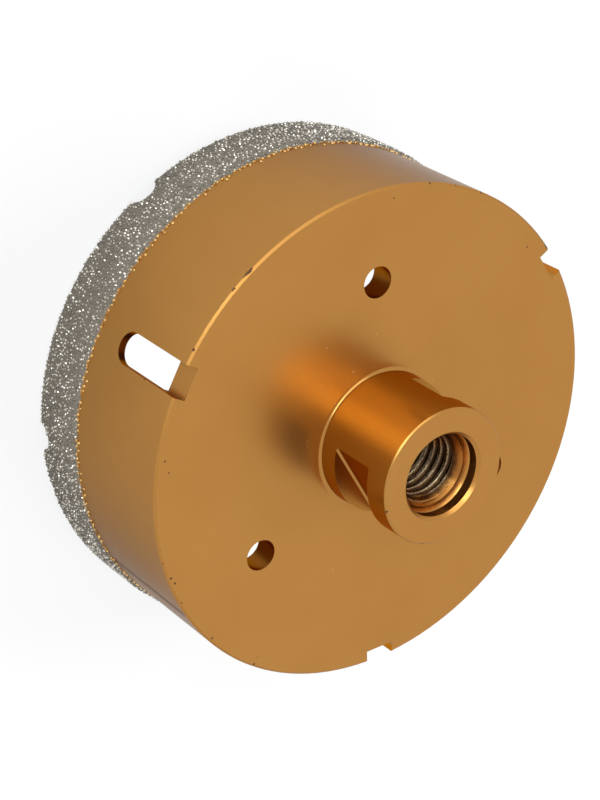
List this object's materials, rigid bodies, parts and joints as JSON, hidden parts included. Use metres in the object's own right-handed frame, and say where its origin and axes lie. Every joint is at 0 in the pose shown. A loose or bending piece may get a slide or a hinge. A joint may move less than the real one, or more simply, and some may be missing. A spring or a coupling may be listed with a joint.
{
  "type": "diamond core bit",
  "caption": "Shallow cup-shaped core bit: slotted steel barrel with a brazed diamond rim, a back plate with ejection holes, and a threaded hub with spanner flats.",
  "frame": {"origin": "on the tool axis, in the plane of the crown's rim, on which the bit stands", "axes": "+Z along the tool axis from the open crown to the threaded hub; +X through the middle of one side slot"},
  "size_m": [0.1, 0.1, 0.0585],
  "materials": {
    "gold_paint": "satin metallic gold paint on steel",
    "diamond_braze": "rough nickel braze full of diamond grains",
    "bare_thread": "bare oiled steel thread"
  },
  "bodies": {
    "root": {"barrel": "gold_paint", "back_plate": "gold_paint", "hub": "gold_paint", "diamond_crown": "diamond_braze"}
  },
  "joints": []
}
